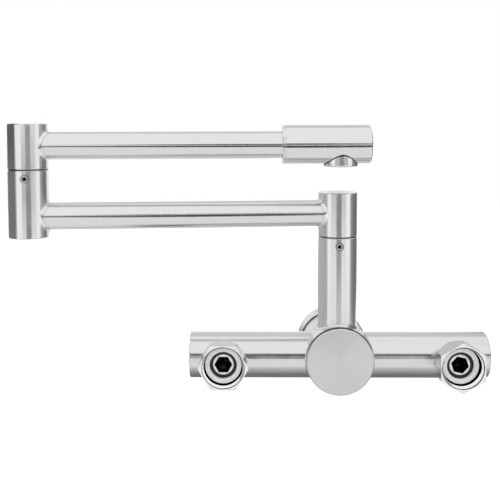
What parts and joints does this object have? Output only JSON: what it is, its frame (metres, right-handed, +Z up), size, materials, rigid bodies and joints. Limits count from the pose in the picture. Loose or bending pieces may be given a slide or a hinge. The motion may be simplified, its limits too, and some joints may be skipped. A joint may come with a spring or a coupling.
{
  "type": "wall-mounted mixer tap",
  "caption": "Wall-mounted mixer tap in brushed steel with a folding double-jointed spout, union-nut inlets and a stick control.",
  "frame": {"origin": "midway between the two inlet unions, in the plane of their mouths, which faces the wall", "axes": "+X along the body tube, to the right as seen from the wall; +Y away from the wall, towards the user; +Z up"},
  "size_m": [0.3094, 0.1315, 0.1767],
  "materials": {
    "brushed_steel": "brushed",
    "machined_steel": "machined",
    "brass": "machined",
    "black_rubber": "matte",
    "seal_fibre": "matte",
    "white_plastic": "satin",
    "grey_plastic": "satin",
    "black_plastic": "satin",
    "ceramic": "polished"
  },
  "bodies": {
    "mixer_body": {"valve_body": "brushed_steel", "rear_cap": "brushed_steel", "body_tube_left": "brushed_steel", "body_tube_right": "brushed_steel", "end_plug_left": "brushed_steel", "end_plug_right": "brushed_steel", "inlet_boss_left": "brushed_steel", "inlet_boss_right": "brushed_steel", "inlet_nipple_left": "machined_steel", "inlet_nipple_right": "machined_steel", "nipple_seal_left": "black_rubber", "nipple_seal_right": "black_rubber", "seal_washer_left": "seal_fibre", "seal_washer_right": "seal_fibre", "riser_tube": "brushed_steel", "riser_bush": "white_plastic", "riser_set_screw": "machined_steel", "riser_slip_washer": "black_plastic", "cartridge_base": "white_plastic", "cartridge_seals": "black_rubber", "fixed_disc": "ceramic", "cartridge_shell": "grey_plastic", "cartridge_nut": "brass", "front_cap": "brushed_steel"},
    "left_union_nut": {"union_nut_left": "brushed_steel"},
    "right_union_nut": {"union_nut_right": "brushed_steel"},
    "control_turn": {"cartridge_rotor": "white_plastic", "pivot_pin": "machined_steel"},
    "control_lever": {"lever_stem": "brass", "lever_dome": "brushed_steel", "control_stick": "brushed_steel"},
    "control_disc": {"disc_carrier": "grey_plastic", "moving_disc": "ceramic"},
    "spout_lower": {"riser_head": "brushed_steel", "riser_head_plug": "brushed_steel", "riser_spigot": "brass", "riser_o_rings": "black_rubber", "lower_arm": "brushed_steel", "elbow_sleeve": "brushed_steel", "elbow_bottom_plug": "brushed_steel", "elbow_bush": "white_plastic", "elbow_set_screw": "machined_steel", "elbow_slip_washer": "black_plastic"},
    "spout_upper": {"elbow_head": "brushed_steel", "elbow_head_plug": "brushed_steel", "elbow_spigot": "brass", "elbow_o_rings": "black_rubber", "upper_arm": "brushed_steel", "spout_head": "brushed_steel", "spout_end_ring": "machined_steel", "spout_end_plug": "brushed_steel", "outlet_collar": "brushed_steel", "aerator_housing": "grey_plastic", "aerator_screen": "machined_steel", "flow_regulator": "white_plastic", "aerator_washer": "black_rubber"}
  },
  "joints": [
    {"name": "riser_swivel", "type": "hinge", "parent": "mixer_body", "child": "spout_lower", "pos_m": [0, 0.031, 0.0793], "axis": [0, 0, 1], "continuous": true},
    {"name": "elbow_swivel", "type": "hinge", "parent": "spout_lower", "child": "spout_upper", "pos_m": [-0.19927, 0.01392, 0.1245], "axis": [0, 0, 1], "continuous": true},
    {"name": "control_turn", "type": "hinge", "parent": "mixer_body", "child": "control_turn", "pos_m": [0, 0.031, 0], "axis": [0, 1, 0], "range_deg": [-45, 45]},
    {"name": "control_lift", "type": "hinge", "parent": "control_turn", "child": "control_lever", "pos_m": [0, 0.057, 0], "axis": [1, 0, 0], "range_deg": [0, 22]},
    {"name": "disc_slide", "type": "slide", "parent": "control_turn", "child": "control_disc", "axis": [0, 0, -1], "range_m": [0, 0.0053]},
    {"name": "left_nut_spin", "type": "hinge", "parent": "mixer_body", "child": "left_union_nut", "pos_m": [-0.075, 0.0076, 0], "axis": [0, -1, 0], "continuous": true},
    {"name": "right_nut_spin", "type": "hinge", "parent": "mixer_body", "child": "right_union_nut", "pos_m": [0.075, 0.0076, 0], "axis": [0, -1, 0], "continuous": true}
  ],
  "couplings": [
    {"joint": "disc_slide", "follows": "control_lift", "m_per_rad": 0.0138}
  ]
}
